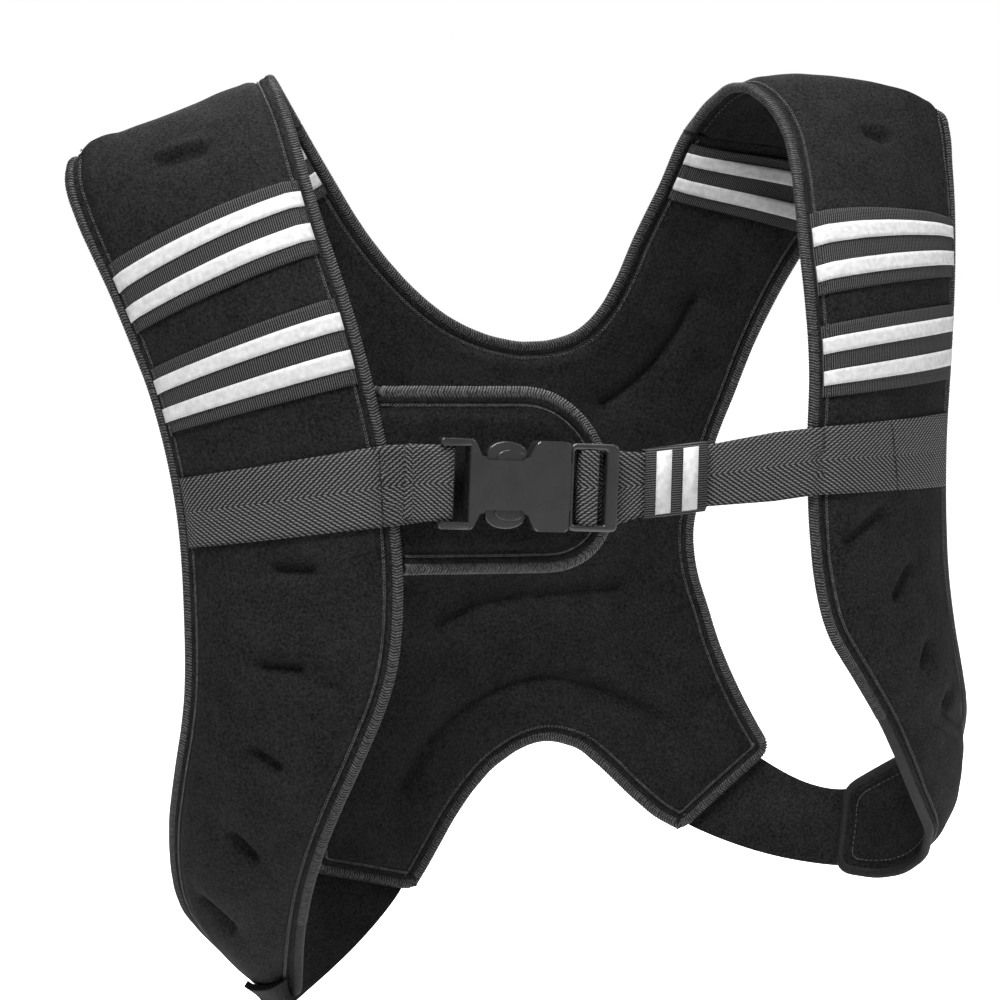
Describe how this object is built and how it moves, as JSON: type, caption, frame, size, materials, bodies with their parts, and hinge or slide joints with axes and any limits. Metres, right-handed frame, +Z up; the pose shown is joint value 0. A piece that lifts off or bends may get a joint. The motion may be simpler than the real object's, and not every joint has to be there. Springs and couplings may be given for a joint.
{
  "type": "weighted vest",
  "caption": "Padded weighted running vest worn over both shoulders, with a buckled chest strap, reflective tapes and elastic side straps.",
  "frame": {"origin": "midway between the shoulders in the wearer's middle plane, level with the crest of the shoulder straps", "axes": "+X to the right of someone who faces the vest, -Y towards the front with the chest strap, +Z up"},
  "size_m": [0.4807, 0.2048, 0.4886],
  "materials": {
    "neoprene": "matte black knit-faced neoprene",
    "edging": "black binding with close overlock stitches",
    "tape": "charcoal ribbed tape",
    "reflective": "white reflective strip, smooth and matte",
    "webbing": "black herringbone webbing",
    "plastic": "satin black moulded plastic"
  },
  "bodies": {
    "root": {"back_panel": "neoprene", "neck_edging": "edging", "arch_edging": "edging", "front_panel_left": "neoprene", "front_edging_left": "edging", "arm_edging_left": "edging", "upper_left_tape": "tape", "upper_left_strip_1": "reflective", "upper_left_strip_2": "reflective", "lower_left_tape": "tape", "lower_left_strip_1": "reflective", "lower_left_strip_2": "reflective", "inner_left_tape": "tape", "inner_left_strip_1": "reflective", "inner_left_strip_2": "reflective", "side_strap_left": "neoprene", "front_panel_right": "neoprene", "front_edging_right": "edging", "arm_edging_right": "edging", "upper_right_tape": "tape", "upper_right_strip_1": "reflective", "upper_right_strip_2": "reflective", "lower_right_tape": "tape", "lower_right_strip_1": "reflective", "lower_right_strip_2": "reflective", "inner_right_tape": "tape", "inner_right_strip_1": "reflective", "inner_right_strip_2": "reflective", "side_strap_right": "neoprene", "chest_webbing_left": "webbing", "chest_webbing_right": "webbing", "buckle_socket": "plastic", "buckle_prongs": "plastic", "keeper_loop": "tape", "keeper_strip_1": "reflective", "keeper_strip_2": "reflective", "buckle_flap": "neoprene", "flap_edging": "edging"}
  },
  "joints": []
}
